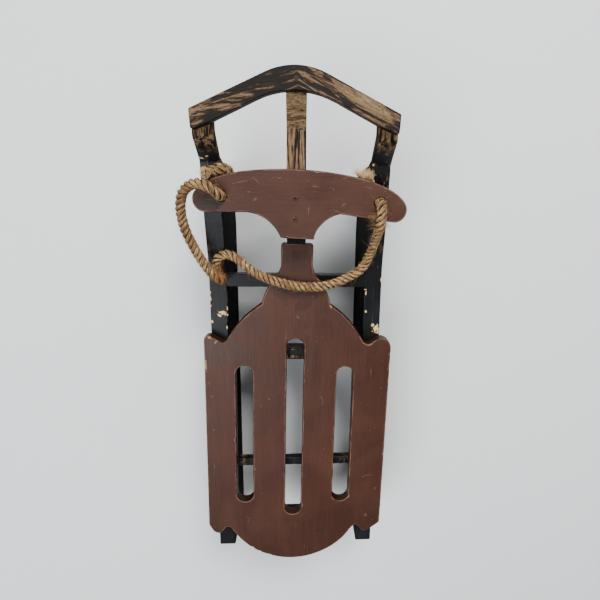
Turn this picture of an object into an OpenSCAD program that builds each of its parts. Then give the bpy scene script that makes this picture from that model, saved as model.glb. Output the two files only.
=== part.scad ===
// Small wooden sled with a scroll-cut deck, a rope steering bar, two board runners and a nose bow.
// +Z is up, +Y points to the nose, +X to the right when the nose points away.
// Millimetres. Modules draw in the sled's own frame: x from its middle line, y from the
// deck's tail, z from the ground. At the end every piece is moved so that the origin is the
// middle of the sled's footprint on the ground.

/* [Sled] */
// Length from the deck's tail to the peak of the nose bow
overall_len = 549; // [549:1:560]
// Spacing of the runners' outer faces
frame_w = 189; // [185:1:195]
// Thickness of the boards that make the runners and the spine
stock_t = 19; // [18:0.5:20]
// Depth of a runner board
runner_h = 89; // [86:1:92]
// Thickness of the deck and of the steering bar
deck_t = 12.7; // [11:0.1:13]
// Where the runners end, ahead of the deck's tail
runner_tail = 11; // [8:1:20]

/* [Deck] */
// Distance from the middle slot to the deck's left edge
deck_left = 100; // [98:0.5:102]
// Distance from the middle slot to the deck's right edge
deck_right = 107; // [103:0.5:108]
// Radius of the rounded tail
tail_r = 83; // [82:0.5:84]
// Width of the three slots
slot_w = 19; // [16:0.5:22]
// Distance from the middle slot to each side slot
slot_pitch = 56.5; // [52:0.5:60]
// Half the width of the neck's nose end
neck_half = 17.2; // [16:0.1:18]
// Where the neck ends
neck_y = 389.7; // [385:0.1:390]
// Turn of the deck on the frame, nose to the right, in degrees
deck_turn = 0.9; // [0:0.1:1.2]
// Shift of the deck's tail to the left of the middle line
deck_shift = 3.8; // [2:0.1:4]

/* [Steering bar] */
// Half the length of the bar
bar_half = 103.7; // [100:0.1:104]
// Centre of the bar to the right of the middle line
bar_x = 4.8; // [4:0.1:5]
// Centre of the bar's ends from the deck's tail
bar_y = 429.7; // [429:0.1:430]
// Height of the bar's underside above the deck's top
bar_lift = 18; // [18:0.5:20]
// Turn of the bar, nose edge to the right, in degrees
bar_turn = 2.4; // [1.5:0.1:2.5]
// Distance from the bar's centre to each rope hole
hole_x = 76.6; // [76:0.1:77]
// Diameter of the rope holes
hole_d = 11; // [10.5:0.1:12]

/* [Nose bow] */
// Thickness of the bow
bow_t = 10; // [9:0.5:11]
// Height of the bow's top above the deck's top
bow_lift = 48; // [48:0.5:50]

/* [Rope] */
// Diameter of the rope
rope_d = 10; // [9.5:0.1:10]

/* [Fasteners] */
// Diameter of a nail's head
nail_head_d = 4.4; // [3.5:0.1:5]
// Diameter of a nail's shank
nail_d = 2; // [1.8:0.1:2.4]
// Diameter of a screw's head
screw_head_d = 6.8; // [6:0.1:7.5]
// Diameter of a screw's shank
screw_d = 3.4; // [3:0.1:3.8]

/* [Hidden] */

$fn = 48;
eps = 0.5;                      // overshoot of a cut past the face it starts from
arc_steps = 10;                 // chords in a rounded corner
long_steps = 28;                // chords in a long arc

middle_x = -2;                  // where the sled's middle line stands, so that its box is centred
deck_top = runner_h + deck_t;
bar_z = deck_top + bar_lift;
bar_top = bar_z + deck_t;
bow_top = deck_top + bow_lift;
bow_z = bow_top - bow_t;
inner_x = frame_w / 2 - stock_t;
runner_mid = inner_x + stock_t / 2;

// Crossbars: [middle from the tail, width along the sled, depth]
front_bar = [347.5, 14, 14];
second_bar = [263.8, 15, 14];
third_bar = [126.2, 9.5, 9.5];
tail_bar = [49.7, 14, 14];
bars = [front_bar, second_bar, third_bar, tail_bar];

screw_x = -1;                   // screws beside the spine's middle line
screw_y = [415.5, 435.5];
screw_len = 30;
screw_cone = 2.6;               // depth of the countersink
left_hole_y = 4;                // rope holes ahead of the line between the bar's ends
right_hole_y = 6.2;

nail_len = 24;
bow_nail_len = 20;
crossbar_nail_len = 40;
nail_head_t = 1.2;
deck_nail_rows = [58, 160, 262]; // rows that go down into the runners
deck_nail_x = 28;               // nails into the crossbars, beside the middle slot
neck_nail_x = 10;
bow_nail_rows = [501.5, 507];    // through each end of the bow into a runner's tongue

// Smooth curves ----------------------------------------------------------------------------

function unit(v) = v / norm(v);

// Points of the arc that rounds the corner b of the path a, b, c with radius r
function rounded(a, b, c, r) =
    let (u = unit(a - b), v = unit(c - b), half = acos(u * v) / 2)
    let (mid = b + unit(u + v) * r / sin(half), turn = sign(cross([u.x, u.y], [v.x, v.y])))
    let (start = b + u * r / tan(half) - mid, sweep = 180 - 2 * half)
    [for (i = [0:arc_steps]) let (t = -turn * sweep * i / arc_steps)
        mid + [start.x * cos(t) - start.y * sin(t), start.x * sin(t) + start.y * cos(t)]];

// A closed outline from corners [x, y, radius]
function outline(p) = let (n = len(p))
    [for (i = [0:n - 1])
        let (a = p[(i + n - 1) % n], b = p[i], c = p[(i + 1) % n])
        each b[2] == 0 ? [[b.x, b.y]] : rounded([a.x, a.y], [b.x, b.y], [c.x, c.y], b[2])];

// Points of an arc of radius r from angle a to angle b, as corners with no rounding
function arc(cx, cy, r, a, b, n = long_steps) =
    [for (i = [0:n]) let (t = a + (b - a) * i / n) [cx + r * cos(t), cy + r * sin(t), 0]];

// Points of the arc of radius r from p to q that bulges to the right of the way from p to q
function bulge(p, q, r, n = long_steps) =
    let (d = q - p, h = sqrt(r * r - d * d / 4), c = (p + q) / 2 + [-d.y, d.x] / norm(d) * h)
    let (a = atan2(p.y - c.y, p.x - c.x), b0 = atan2(q.y - c.y, q.x - c.x), b = b0 < a ? b0 + 360 : b0)
    arc(c.x, c.y, r, a, b, n);

// Points of a cubic curve, as corners with no rounding
function cubic(a, b, c, d, n = 14) =
    [for (i = [0:n]) let (t = i / n, s = 1 - t)
        concat(a * s * s * s + 3 * b * s * s * t + 3 * c * s * t * t + d * t * t * t, [0])];

function mirrored(p) = [for (i = [len(p) - 1:-1:0]) [-p[i].x, p[i].y, p[i][2]]];

// Deck -------------------------------------------------------------------------------------

// One side of the deck from the end of the tail arc up to the neck, with its edge at x = side
function deck_side(side, shoulder_r) = concat(
    [[77, 48.5, 4], [87, 36, 5], [94.5, 39.5, 6], [side, 49, 5]],
    [[side, 287, shoulder_r], [93.5, 287, 5], [80.3, 279.5, 1.5]],
    bulge([75.5, 282], [37.2, 323.6], 110, 10),
    cubic([37, 324.4], [34.5, 344], [17, 354], [16.8, 368]),
    [[neck_half, neck_y, 3]]);

module deck_outline() {
    tail_turn = asin(70 / tail_r);
    polygon(outline(concat(
        arc(0, tail_r, tail_r, -90 - tail_turn, -90 + tail_turn, 40),
        deck_side(deck_right, 12),
        mirrored(deck_side(deck_left, 5)))));
}

module slot(x, y0, y1) {
    translate([x - slot_w / 2, y0 + slot_w / 2]) square([slot_w, y1 - y0 - slot_w]);
    for (y = [y0 + slot_w / 2, y1 - slot_w / 2]) translate([x, y]) circle(d = slot_w);
}

// Turns the deck about the centre of its tail arc and sets it on the frame
module deck_place()
    translate([-deck_shift, tail_r, 0]) rotate(-deck_turn) translate([0, -tail_r, 0]) children();

module deck_board() color([0.37, 0.24, 0.20]) difference() {
    deck_place() translate([0, 0, runner_h]) linear_extrude(deck_t) difference() {
        deck_outline();
        slot(0, 62.8, 284.9);
        for (s = [-1, 1]) slot(s * slot_pitch, 80.6, 252.4);
    }
    deck_nails_solid(eps);
    neck_nail(eps);
}

// Steering bar -----------------------------------------------------------------------------

// The right half of the bar's nose edge and its end, in the bar's own frame
bar_end = concat(
    cubic([91.5, -12], [98.5, -12], [bar_half, -6.7], [bar_half, 0.5]),
    cubic([bar_half, 1], [bar_half, 10.3], [88.2, 21.6], [60.8, 27.4]));

module bar_outline()
    polygon(outline(concat(
        [[-15.6, -32.8, 1.5], [15, -32.8, 1.5]],
        mirrored(arc(-47.1, -40.5, 34.8, 76, 18, 16)),
        bar_end,
        arc(0, -304.3, 337.3, 79.7, 100.3, 16),
        mirrored(bar_end),
        arc(-53.4, -47.6, 37.6, 98, 24, 16))));

module bar_place()
    translate([bar_x, bar_y, bar_z]) rotate(-bar_turn) children();

module steering_bar() color([0.39, 0.26, 0.22]) difference() {
    bar_place() difference() {
        linear_extrude(deck_t) bar_outline();
        for (at = [[-hole_x, left_hole_y], [hole_x, right_hole_y]])
            translate([at.x, at.y, -eps]) cylinder(d = hole_d, h = deck_t + 2 * eps);
    }
    steering_screws_solid(eps);
}

// Nose bow ---------------------------------------------------------------------------------

// One side of the bow: outer corner, end and inner corner
bow_side = [[75, 500.8, 0], [93.6, 493.2, 2], [frame_w / 2, 511, 1.5]];

module nose_bow() color([0.47, 0.37, 0.27]) difference() {
    translate([0, 0, bow_z]) linear_extrude(bow_t)
        polygon(outline(concat(
            bow_side, [[0, overall_len + 6.8, 63.6]],
            mirrored(bow_side), [[0, 537.5, 79]])));
    bow_nails_solid(eps);
    bow_spine_nail(eps);
}

// Runners and spine ------------------------------------------------------------------------

// A board with the side view given as corners [y, z, radius], from x0 to x0 + stock_t
module side_board(x0, corners)
    translate([x0, 0, 0]) rotate([90, 0, 90]) linear_extrude(stock_t) polygon(outline(corners));

// Top edge flat under the deck, rising ahead of it, then a tongue that curls up under the bow
nose_r = 80;
runner_side = concat(
    [[runner_tail, 0, 4], [390, 0, 0]],
    arc(390.6, nose_r, nose_r, -88, 3, 20),
    [[475, 104, 6], [496, bow_z - 12, 6], [511, bow_z - 12, 2], [511, bow_z, 1], [489, bow_z, 6]],
    [[470, 112.2, 5], [411, 100.7, 40], [362, runner_h, 60], [runner_tail, runner_h, 2]]);

module left_runner() color([0.14, 0.15, 0.17]) difference() {
    side_board(-frame_w / 2, runner_side);
    deck_nails_solid();
    bow_nails_solid();
    crossbar_nails_solid(-1, eps);
}

module right_runner() color([0.14, 0.15, 0.17]) difference() {
    side_board(inner_x, runner_side);
    deck_nails_solid();
    bow_nails_solid();
    crossbar_nails_solid(1, eps);
}

// Tail end under the neck, a flat seat for the steering bar, nose end curled up under the bow
spine_tail = front_bar[0] + front_bar[1] / 2;
spine_side = [[spine_tail, 70, 0], [394, 78, 30], [468, 98, 40], [503, 108, 25], [526, bow_z - 14, 12],
    [546, bow_z - 12, 3], [546, bow_z, 1], [523, bow_z, 10], [500, bar_z, 10],
    [391, bar_z, 0], [391, runner_h, 0], [spine_tail, runner_h, 0]];

module center_spine() color([0.42, 0.33, 0.24]) difference() {
    side_board(-stock_t / 2, spine_side);
    steering_screws_solid();
    neck_nail();
    bow_spine_nail();
}

// Crossbars --------------------------------------------------------------------------------

module crossbar(bar) color([0.10, 0.10, 0.11]) difference() {
    translate([-inner_x, bar[0] - bar[1] / 2, runner_h - bar[2]]) cube([2 * inner_x, bar[1], bar[2]]);
    deck_nails_solid();
    for (s = [-1, 1]) crossbar_nails_solid(s);
}

// Fasteners --------------------------------------------------------------------------------

// A nail that points down from its head's top face at the origin. As the shape that cuts its
// hole, it rises by over past the board's face.
module nail(length = nail_len, over = 0) {
    translate([0, 0, -nail_head_t]) cylinder(d = nail_head_d, h = nail_head_t + over);
    translate([0, 0, -length]) cylinder(d = nail_d, h = length - nail_head_t);
}

module deck_nails_solid(over = 0) {
    for (y = deck_nail_rows, s = [-1, 1]) translate([s * runner_mid, y, deck_top]) nail(over = over);
    for (bar = [second_bar, third_bar, tail_bar], s = [-1, 1])
        translate([s * deck_nail_x, bar[0], deck_top]) nail(deck_t + bar[2] - 3, over);
    for (s = [-1, 1]) translate([s * neck_nail_x, front_bar[0], deck_top]) nail(over = over);
}

module bow_nails_solid(over = 0)
    for (s = [-1, 1], y = bow_nail_rows)
        translate([s * (runner_mid + (y - bow_nail_rows[0]) / 4), y, bow_top]) nail(bow_nail_len, over);

module neck_nail(over = 0) translate([0, 376, deck_top]) nail(over = over);

module bow_spine_nail(over = 0) translate([0, 538, bow_top]) nail(bow_nail_len, over);

// Nails driven in from a runner's outer face; side is -1 for the left and 1 for the right
module crossbar_nails_solid(side, over = 0)
    for (bar = bars) translate([side * frame_w / 2, bar[0], runner_h - bar[2] / 2])
        rotate([0, side * 90, 0]) nail(crossbar_nail_len, over);

// Two countersunk screws with crossed recesses
module steering_screws_solid(over = 0)
    for (y = screw_y) translate([screw_x, y, bar_top]) {
        cylinder(d = screw_head_d, h = over);
        translate([0, 0, -screw_cone]) cylinder(d1 = screw_d, d2 = screw_head_d, h = screw_cone);
        translate([0, 0, -screw_len]) cylinder(d = screw_d, h = screw_len - screw_cone);
    }

module steering_screws() color([0.33, 0.24, 0.20]) difference() {
    steering_screws_solid();
    for (y = screw_y, a = [20, 110]) translate([screw_x, y, bar_top]) rotate(a + y)
        translate([-2, -0.45, -1.4]) cube([4, 0.9, 2]);
}

module deck_nails() color([0.45, 0.33, 0.28]) deck_nails_solid();
module bow_nails() color([0.30, 0.28, 0.26]) bow_nails_solid();
module left_crossbar_nails() color([0.12, 0.12, 0.13]) crossbar_nails_solid(-1);
module right_crossbar_nails() color([0.12, 0.12, 0.13]) crossbar_nails_solid(1);

module spine_nails() color([0.35, 0.28, 0.24]) {
    neck_nail();
    bow_spine_nail();
}

// Rope -------------------------------------------------------------------------------------

// The rope's middle line from the left knot, up through the left hole, round the left side,
// through a kink that doubles back under itself, over the neck and down the right hole
rope_route = [
    [-67, 449, 110.5], [-69, 442, 111], [-71, 438, 115], [-71.5, 437, 121],
    [-71.5, 437, 133.5], [-73.3, 438.6, 139.5], [-79.5, 443.5, 142.5], [-88, 447.5, 141.5],
    [-98, 446.5, 137.5], [-107, 439, 132.5], [-111, 427, 127.5], [-111, 411, 121.5],
    [-107, 395, 116.5], [-99, 377, 112.5], [-90.6, 362.6, 110], [-83.4, 355, 108.5],
    [-79.9, 352, 106.6], [-78.4, 350.8, 102], [-79.9, 352, 97.4], [-83.2, 355.4, 95.5],
    [-85, 364.2, 96], [-81.5, 373.5, 98],
    [-72.5, 377, 98.5], [-61.5, 372, 99], [-46, 360, 102.5], [-28, 352.3, 107],
    [-8, 346.3, 107], [14, 344, 107], [34, 346.3, 107], [53, 352.8, 103],
    [69, 363, 102.5], [76.7, 378, 107], [79.7, 393, 118.5], [81, 404.3, 130.5],
    [81.5, 411.5, 138], [81.5, 424, 142.3], [81.5, 430.6, 139.5], [81.5, 432.7, 133.5],
    [81.5, 432.7, 121], [80, 433.7, 114.5], [75, 435.5, 110.5], [67, 442, 107.5]];

ring_sides = 10;

// A point of the smooth curve through the points p, at the fraction t of the way from p[i]
function curve_at(p, i, t) =
    let (a = p[max(i - 1, 0)], b = p[i], c = p[i + 1], d = p[min(i + 2, len(p) - 1)])
    0.5 * (2 * b + (c - a) * t + (2 * a - 5 * b + 4 * c - d) * t * t + (3 * b - a - 3 * c + d) * t * t * t);

last_point = len(rope_route) - 1;
rope_line = concat(
    [for (i = [0:last_point - 1], t = [0, 0.5]) curve_at(rope_route, i, t)],
    [rope_route[last_point]]);

// A tube of circular rings square to the line, each turned as little as possible from the last
function along(p, i) = unit(p[min(i + 1, len(p) - 1)] - p[max(i - 1, 0)]);
function across(v, d) = unit(v - (v * d) * d);
function frames(p, i, v) = i >= len(p) ? [] :
    let (w = across(v, along(p, i))) concat([w], frames(p, i + 1, w));

module tube(p, r) {
    n = len(p);
    normals = frames(p, 0, [0, 0, 1]);
    points = [for (i = [0:n - 1], k = [0:ring_sides - 1])
        let (d = along(p, i), u = normals[i], v = cross(d, u), a = 360 * k / ring_sides)
        p[i] + r * (cos(a) * u + sin(a) * v)];
    faces = concat([[for (k = [0:ring_sides - 1]) k]],
        [for (i = [0:n - 2], k = [0:ring_sides - 1])
            let (a = i * ring_sides, b = a + ring_sides, k2 = (k + 1) % ring_sides)
            each [[a + k, b + k, b + k2], [a + k, b + k2, a + k2]]],
        [[for (k = [ring_sides - 1:-1:0]) (n - 1) * ring_sides + k]]);
    polyhedron(points, faces, convexity = 8);
}

module tow_rope() color([0.74, 0.60, 0.42]) tube(rope_line, rope_d / 2);

// A knot's outer shape: a barrel that starts at the rope's end p and runs toward the nose
knot_shoulder = 3;

module knot_barrel(p, length, r)
    translate(p) rotate([-90, 0, 0]) rotate_extrude() polygon(outline([
        [0, 0, 0], [rope_d / 2, 0, 0], [r, knot_shoulder, 2], [r, length - knot_shoulder, 2],
        [rope_d / 2, length, 0], [0, length, 0]]));

left_knot_len = 18;
left_knot_r = 8.3;
right_knot_len = 14;
right_knot_r = 8;
left_end_at = [-92.5, 458.5, 116.3];    // cut end of the rope, on top of the left runner
left_end_len = 22;                      // from the cut end to inside the knot
right_end_len = 14;                     // length of the frayed end
right_end_d = 14;                       // width of its tips
right_end_turn = [-60, 0, -22];

module left_knot_solid() knot_barrel(rope_route[0], left_knot_len, left_knot_r);

module left_knot() color([0.78, 0.64, 0.45]) left_knot_solid();

module right_knot() color([0.78, 0.64, 0.45])
    knot_barrel(rope_route[last_point], right_knot_len, right_knot_r);

module left_rope_end() color([0.82, 0.68, 0.49]) difference() {
    translate(left_end_at) rotate([0, 90, 0]) cylinder(d = rope_d, h = left_end_len);
    left_knot_solid();
}

module right_rope_end() color([0.82, 0.68, 0.49])
    translate(rope_route[last_point] + [0, right_knot_len, 0]) difference() {
        rotate(right_end_turn) cylinder(d1 = rope_d, d2 = right_end_d, h = right_end_len);
        translate([-rope_d, -rope_d, -rope_d]) cube([2 * rope_d, rope_d, 2 * rope_d]);
    }

// ------------------------------------------------------------------------------------------

module on_sled() translate([middle_x, -overall_len / 2, 0]) children();

on_sled() deck_board();
on_sled() steering_bar();
on_sled() nose_bow();
on_sled() left_runner();
on_sled() right_runner();
on_sled() center_spine();
on_sled() crossbar(front_bar);  // front_crossbar
on_sled() crossbar(second_bar);  // second_crossbar
on_sled() crossbar(third_bar);  // third_crossbar
on_sled() crossbar(tail_bar);  // tail_crossbar
on_sled() steering_screws();
on_sled() deck_nails();
on_sled() bow_nails();
on_sled() spine_nails();
on_sled() left_crossbar_nails();
on_sled() right_crossbar_nails();
on_sled() tow_rope();
on_sled() left_knot();
on_sled() right_knot();
on_sled() left_rope_end();
on_sled() right_rope_end();
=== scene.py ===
"""Looks of a small painted wooden sled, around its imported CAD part.

Everything is in the CAD part's frame, in metres: +Z up, +Y to the nose bow, +X to the right.
Places on the sled are written in millimetres and turned into metres by at().
"""

import math
import random

import bmesh
import bpy
from mathutils import Matrix, Vector, noise


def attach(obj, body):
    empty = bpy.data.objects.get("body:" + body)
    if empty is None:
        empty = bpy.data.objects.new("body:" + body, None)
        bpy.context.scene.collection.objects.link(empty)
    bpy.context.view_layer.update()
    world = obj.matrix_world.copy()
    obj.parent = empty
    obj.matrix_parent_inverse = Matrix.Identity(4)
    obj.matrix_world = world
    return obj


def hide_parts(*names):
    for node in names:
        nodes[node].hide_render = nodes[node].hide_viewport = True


MM = 0.001
BODY = "root"

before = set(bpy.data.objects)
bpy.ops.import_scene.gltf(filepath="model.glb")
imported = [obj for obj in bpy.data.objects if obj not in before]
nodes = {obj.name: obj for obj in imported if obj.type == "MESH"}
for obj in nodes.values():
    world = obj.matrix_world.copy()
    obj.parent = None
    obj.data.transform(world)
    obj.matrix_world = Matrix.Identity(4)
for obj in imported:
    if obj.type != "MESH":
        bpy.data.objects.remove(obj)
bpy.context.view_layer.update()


def at(x, y, z):
    """A place in millimetres, counted from the middle line, the deck's tail and the ground."""
    return Vector((x - 2, y - 274.5, z)) * MM


# Camera ------------------------------------------------------------------------------------

EYE = at(1.7, 435.6, 570.7)
TILT, YAW, ROLL = (math.radians(a) for a in (12.83, 3.66, 0.14))
SENSOR = 36.0


def make_camera():
    """Looks down at the deck, tipped toward the tail, as the photograph was taken."""
    data = bpy.data.cameras.new("camera")
    data.sensor_width = SENSOR
    data.lens = 26.65
    data.shift_x = -0.0438
    data.clip_start = 0.01
    camera = bpy.data.objects.new("camera", data)
    bpy.context.scene.collection.objects.link(camera)
    to_lens = (Matrix.Rotation(ROLL, 3, "Z") @ Matrix.Rotation(-YAW, 3, "Y")
               @ Matrix.Rotation(TILT + math.pi, 3, "X"))
    turn = to_lens.transposed() @ Matrix.Rotation(math.pi, 3, "X")
    camera.matrix_world = Matrix.Translation(EYE) @ turn.to_4x4()
    bpy.context.scene.camera = camera


make_camera()

# Node materials ----------------------------------------------------------------------------


def srgb(red, green, blue):
    """A colour given from 0 to 255, as linear values with alpha."""
    return tuple((c / 255 / 12.92 if c < 10 else ((c / 255 + 0.055) / 1.055) ** 2.4)
                 for c in (red, green, blue)) + (1.0,)


SHEEN = 0.20                    # reflection of old paint and bare wood; 0.5 is new plastic


class Surface:
    """One node material, with a short call for each kind of node that it uses."""

    def __init__(self, name):
        self.material = bpy.data.materials.new(name)
        self.material.use_nodes = True
        self.tree = self.material.node_tree
        self.tree.nodes.clear()
        self.place = self.node("ShaderNodeTexCoord").outputs["Object"]

    def node(self, kind, inputs=(), **settings):
        """Adds a node. inputs maps an input's name or index to a value or to another's output."""
        made = self.tree.nodes.new(kind)
        for name, value in settings.items():
            setattr(made, name, value)
        for key, value in dict(inputs).items():
            if isinstance(value, bpy.types.NodeSocket):
                self.tree.links.new(value, made.inputs[key])
            else:
                made.inputs[key].default_value = value
        return made

    def math(self, operation, a, b=0.0, clamp=False):
        return self.node("ShaderNodeMath", {0: a, 1: b}, operation=operation, use_clamp=clamp).outputs[0]

    def stretch(self, scale, turn=(0, 0, 0), move=(0, 0, 0), vector=None):
        """The place, turned, scaled and moved, to stretch a pattern along the grain."""
        turned = self.node("ShaderNodeMapping", {"Vector": vector or self.place, "Rotation": turn})
        return self.node("ShaderNodeMapping", {"Vector": turned.outputs[0], "Scale": scale,
                                               "Location": move}).outputs[0]

    def noise(self, scale, detail=3.0, rough=0.5, warp=0.0, turn=(0, 0, 0), move=(0, 0, 0), vector=None):
        """Noise from 0 to 1 around 0.5; scale is in cycles a metre along X, Y and Z."""
        return self.node("ShaderNodeTexNoise", {
            "Vector": self.stretch(scale, turn, move, vector), "Scale": 1.0, "Detail": detail,
            "Roughness": rough, "Distortion": warp}).outputs["Fac"]

    def step(self, value, low, high, to_low=0.0, to_high=1.0):
        """A smooth step from to_low below low, to to_high above high."""
        return self.node("ShaderNodeMapRange", {
            "Value": value, "From Min": low, "From Max": high, "To Min": to_low, "To Max": to_high},
            interpolation_type="SMOOTHSTEP").outputs[0]

    def ramp(self, value, stops):
        """A colour for each value; stops are (value, colour) in rising order."""
        made = self.node("ShaderNodeValToRGB", {0: value})
        band = made.color_ramp
        band.elements.remove(band.elements[1])
        band.elements[0].position, band.elements[0].color = stops[0]
        for place, colour in stops[1:]:
            band.elements.new(place).color = colour
        return made.outputs[0]

    def mix(self, factor, a, b):
        return self.node("ShaderNodeMix", {0: factor, 6: a, 7: b}, data_type="RGBA").outputs[2]

    def spot(self, centre, radii, jag=0.6, grain=(300, 300, 300), turn=0.0):
        """1 inside an uneven patch with these radii in metres, 0 outside."""
        moved = self.node("ShaderNodeVectorMath", {0: self.place, 1: centre}, operation="SUBTRACT")
        shaped = self.node("ShaderNodeMapping", {
            "Vector": moved.outputs[0], "Rotation": (0, 0, turn)}).outputs[0]
        size = self.node("ShaderNodeVectorMath", {0: shaped, 1: tuple(1 / r for r in radii)},
                         operation="MULTIPLY").outputs[0]
        far = self.node("ShaderNodeVectorMath", {0: size}, operation="LENGTH").outputs["Value"]
        uneven = self.math("MULTIPLY", self.math("SUBTRACT", self.noise(grain), 0.5), jag * 4)
        return self.step(self.math("ADD", far, uneven), 1.08, 0.92)

    def any_of(self, masks):
        found = masks[0]
        for mask in masks[1:]:
            found = self.math("MAXIMUM", found, mask)
        return found

    def facing(self):
        """X, Y and Z of the surface's own normal."""
        normal = self.node("ShaderNodeNewGeometry").outputs["True Normal"]
        return self.node("ShaderNodeSeparateXYZ", {0: normal}).outputs

    def xyz(self):
        return self.node("ShaderNodeSeparateXYZ", {0: self.place}).outputs

    def rim(self):
        """1 on the rounded edge around a flat top, 0 on the top and on the sides."""
        up = self.facing()["Z"]
        return self.math("MULTIPLY", self.step(up, 0.995, 0.95), self.step(up, 0.12, 0.3))

    def bump(self, height, distance, strength=1.0, below=None):
        inputs = {"Height": height, "Distance": distance, "Strength": strength}
        if below is not None:
            inputs["Normal"] = below
        return self.node("ShaderNodeBump", inputs).outputs[0]

    def finish(self, colour, roughness, normal=None, **extra):
        inputs = {"Base Color": colour, "Roughness": roughness, "Specular IOR Level": SHEEN}
        inputs.update({name.replace("_", " "): value for name, value in extra.items()})
        if normal is not None:
            inputs["Normal"] = normal
        shader = self.node("ShaderNodeBsdfPrincipled", inputs)
        self.node("ShaderNodeOutputMaterial", {"Surface": shader.outputs[0]})
        return self.material


# Reddish-brown satin paint of the deck and the steering bar

DECK_TONES = srgb(54, 28, 18), srgb(41, 20, 13), srgb(68, 38, 27)
BAR_TONES = srgb(57, 31, 22), srgb(43, 23, 17), srgb(72, 44, 33)
RIM_WEAR_AND_HIGHLIGHT = srgb(150, 122, 102)
RIM_PAINTED_SHADE = srgb(22, 13, 10)
BARE_ORANGE = srgb(136, 82, 42)
BARE_PALE = srgb(196, 152, 106)
STAIN_AND_SHADE = srgb(30, 15, 11)
SCRATCH = srgb(128, 102, 84)


def brown_paint(name, tones, grain, bare, scratches, dark=()):
    """Brushed-on paint. tones is its middle, dark and light colour. grain is the pattern's scale with
    the brush strokes along its smallest number. bare lists worn-through patches, scratches lists thin
    pale marks, dark lists stains and patches of painted shade, each with its strength."""
    s = Surface(name)
    middle, deep, light = tones
    along = tuple(g * 0.16 for g in grain)
    streaks = s.noise(grain, detail=4.0, rough=0.65)
    broad = s.noise(along, detail=3.0, rough=0.6, move=(3, 7, 1))
    clouds = s.noise((16, 16, 16), detail=4.0, rough=0.55, warp=0.6, move=(9, 2, 4))
    colour = s.mix(s.step(clouds, 0.32, 0.70), deep, light)
    colour = s.mix(0.62, colour, middle)
    colour = s.mix(s.math("MULTIPLY", s.step(broad, 0.45, 0.75), 0.35), colour, light)
    colour = s.mix(s.math("MULTIPLY", s.step(streaks, 0.54, 0.72), 0.45), colour, light)
    colour = s.mix(s.math("MULTIPLY", s.step(streaks, 0.46, 0.26), 0.45), colour, deep)

    warm = s.step(s.noise((9, 13, 9), detail=2.0, move=(5, 1, 8)), 0.52, 0.72)
    colour = s.mix(s.math("MULTIPLY", warm, 0.35), colour, srgb(70, 39, 24))
    # Dark patches: stains, and patches of painted shade and painted shadow
    for (centre, radii, turn), strength in dark:
        colour = s.mix(s.math("MULTIPLY", s.spot(centre, radii, 0.5, (60, 60, 60), turn), strength),
                       colour, STAIN_AND_SHADE)

    specks = s.step(s.noise((420, 420, 420), detail=1.0), 0.72, 0.80)
    few = s.step(s.noise((38, 38, 38), detail=1.0, move=(2, 2, 2)), 0.46, 0.62)
    colour = s.mix(s.math("MULTIPLY", s.math("MULTIPLY", specks, few), 0.5), colour, SCRATCH)
    scuffs = s.step(s.noise(tuple(g * 1.3 for g in grain), detail=3.0, rough=0.7, warp=0.4, move=(7, 1, 7)),
                    0.66, 0.74)
    colour = s.mix(s.math("MULTIPLY", s.math("MULTIPLY", scuffs, few), 0.34), colour, SCRATCH)
    marks = s.any_of([s.spot(c, r, 0.9, (420, 420, 420), t) for c, r, t in scratches])
    broken = s.step(s.noise((800, 800, 800), detail=2.0, move=(4, 4, 4)), 0.40, 0.60, 0.25, 0.75)
    colour = s.mix(s.math("MULTIPLY", marks, s.math("MULTIPLY", broken, 0.42)), colour, SCRATCH)

    up = s.facing()["Z"]
    # Painted shade on the part of the rounded edge that turns down from the top
    shaded_rim = s.math("MULTIPLY", s.step(up, 0.86, 0.60), s.step(up, 0.10, 0.30))
    # Worn paint and painted highlight: pale and orange patches on the upper rounded edge, where it still
    # faces up to the light
    inner = s.math("MULTIPLY", s.step(up, 0.9995, 0.985), s.step(up, 0.80, 0.92))
    worn = s.step(s.noise((70, 70, 70), detail=4.0, rough=0.7, move=(1, 4, 2)), 0.40, 0.56)
    colour = s.mix(s.math("MULTIPLY", shaded_rim, 0.75), colour, RIM_PAINTED_SHADE)
    colour = s.mix(s.math("MULTIPLY", inner, s.math("MULTIPLY", worn, 0.42)), colour, RIM_WEAR_AND_HIGHLIGHT)
    orange = s.step(s.noise((45, 45, 45), detail=2.0, move=(6, 6, 6)), 0.60, 0.68)
    colour = s.mix(s.math("MULTIPLY", s.math("MULTIPLY", inner, orange), 0.3), colour, BARE_ORANGE)
    for centre, radii, turn in bare:
        rubbed = s.spot(centre, radii, 0.9, (520, 380, 520), turn)
        wood = s.mix(s.noise((900, 160, 900), detail=2.0), BARE_ORANGE, BARE_PALE)
        colour = s.mix(s.math("MULTIPLY", rubbed, 0.65), colour, wood)

    # Painted shade: the sides of the board are darkened
    side = s.step(s.math("ABSOLUTE", s.facing()["Z"]), 0.25, 0.05)
    colour = s.mix(s.math("MULTIPLY", side, 0.6), colour, srgb(34, 18, 14))

    rough = s.step(clouds, 0.3, 0.75, 0.38, 0.54)
    rough = s.math("ADD", rough, s.math("MULTIPLY", marks, 0.2))
    height = s.math("ADD", s.math("MULTIPLY", streaks, 0.7), s.math("MULTIPLY", broad, 0.9))
    normal = s.bump(height, 0.00028)
    orange_peel = s.noise((700, 700, 700), detail=2.0)
    normal = s.bump(orange_peel, 0.00006, below=normal)
    return s.finish(colour, rough, normal)


def patch(x, y, z, rx, ry, turn=0.0):
    """A patch on a top face: its centre on the sled, its two radii and its turn in degrees."""
    return at(x, y, z), (rx * MM, ry * MM, 3 * MM), math.radians(turn)


DECK_TOP = 101.7
BAR_TOP = 132.4
RUNNER_TOP = 89.0


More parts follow.
